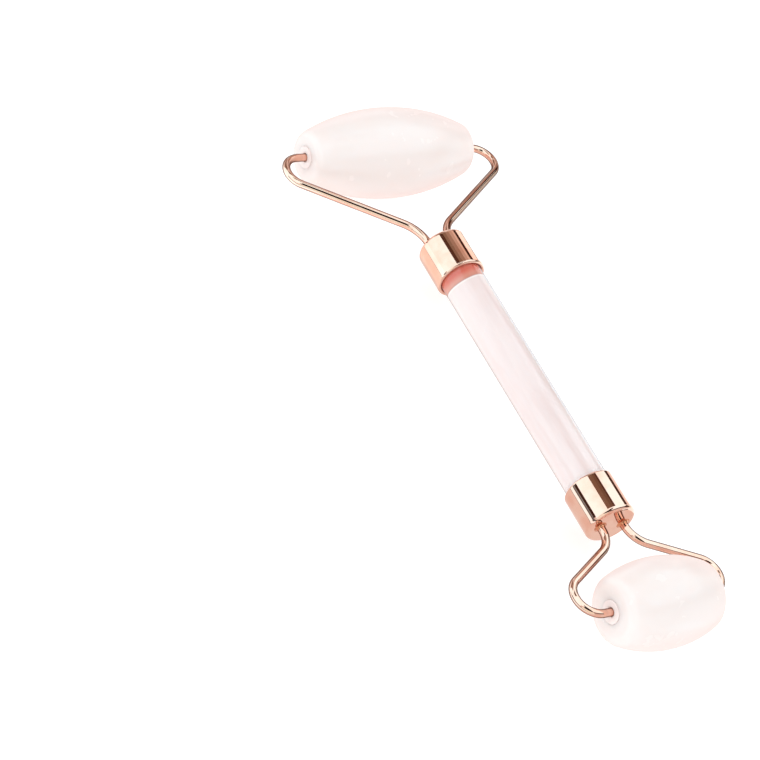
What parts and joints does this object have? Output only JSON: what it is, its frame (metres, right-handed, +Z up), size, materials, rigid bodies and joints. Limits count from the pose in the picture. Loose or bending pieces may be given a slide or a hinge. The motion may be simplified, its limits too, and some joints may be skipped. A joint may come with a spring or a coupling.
{
  "type": "stone face roller",
  "caption": "Two-ended facial massage roller: a slim stone handle with metal caps and bent-wire forks that carry a large and a small barrel-shaped stone.",
  "frame": {"origin": "on the handle's axis, midway along the stone that shows between the two caps", "axes": "+X along the handle towards the large roller; Y along both rollers' spin axes, +Y is left when facing +X; +Z up, out of the flat plane the forks lie in"},
  "size_m": [0.1496, 0.0584, 0.0208],
  "materials": {
    "rose_quartz": "polished",
    "rose_gold": "mirror polished plate",
    "braze": "plated",
    "bond": "translucent cast",
    "bush_plastic": "satin"
  },
  "bodies": {
    "handle": {"handle_rod": "rose_quartz", "large_cap": "rose_gold", "small_cap": "rose_gold", "large_cap_bond": "bond", "small_cap_bond": "bond", "large_left_arm": "rose_gold", "large_right_arm": "rose_gold", "small_left_arm": "rose_gold", "small_right_arm": "rose_gold", "large_left_braze": "braze", "large_right_braze": "braze", "small_left_braze": "braze", "small_right_braze": "braze"},
    "large_stone": {"large_roller": "rose_quartz", "large_left_bush": "bush_plastic", "large_right_bush": "bush_plastic"},
    "small_stone": {"small_roller": "rose_quartz", "small_left_bush": "bush_plastic", "small_right_bush": "bush_plastic"}
  },
  "joints": [
    {"name": "large_stone_spin", "type": "hinge", "parent": "handle", "child": "large_stone", "pos_m": [0.0693, 0, 0], "axis": [0, 1, 0], "continuous": true},
    {"name": "small_stone_spin", "type": "hinge", "parent": "handle", "child": "small_stone", "pos_m": [-0.0603, 0, 0], "axis": [0, 1, 0], "continuous": true}
  ]
}
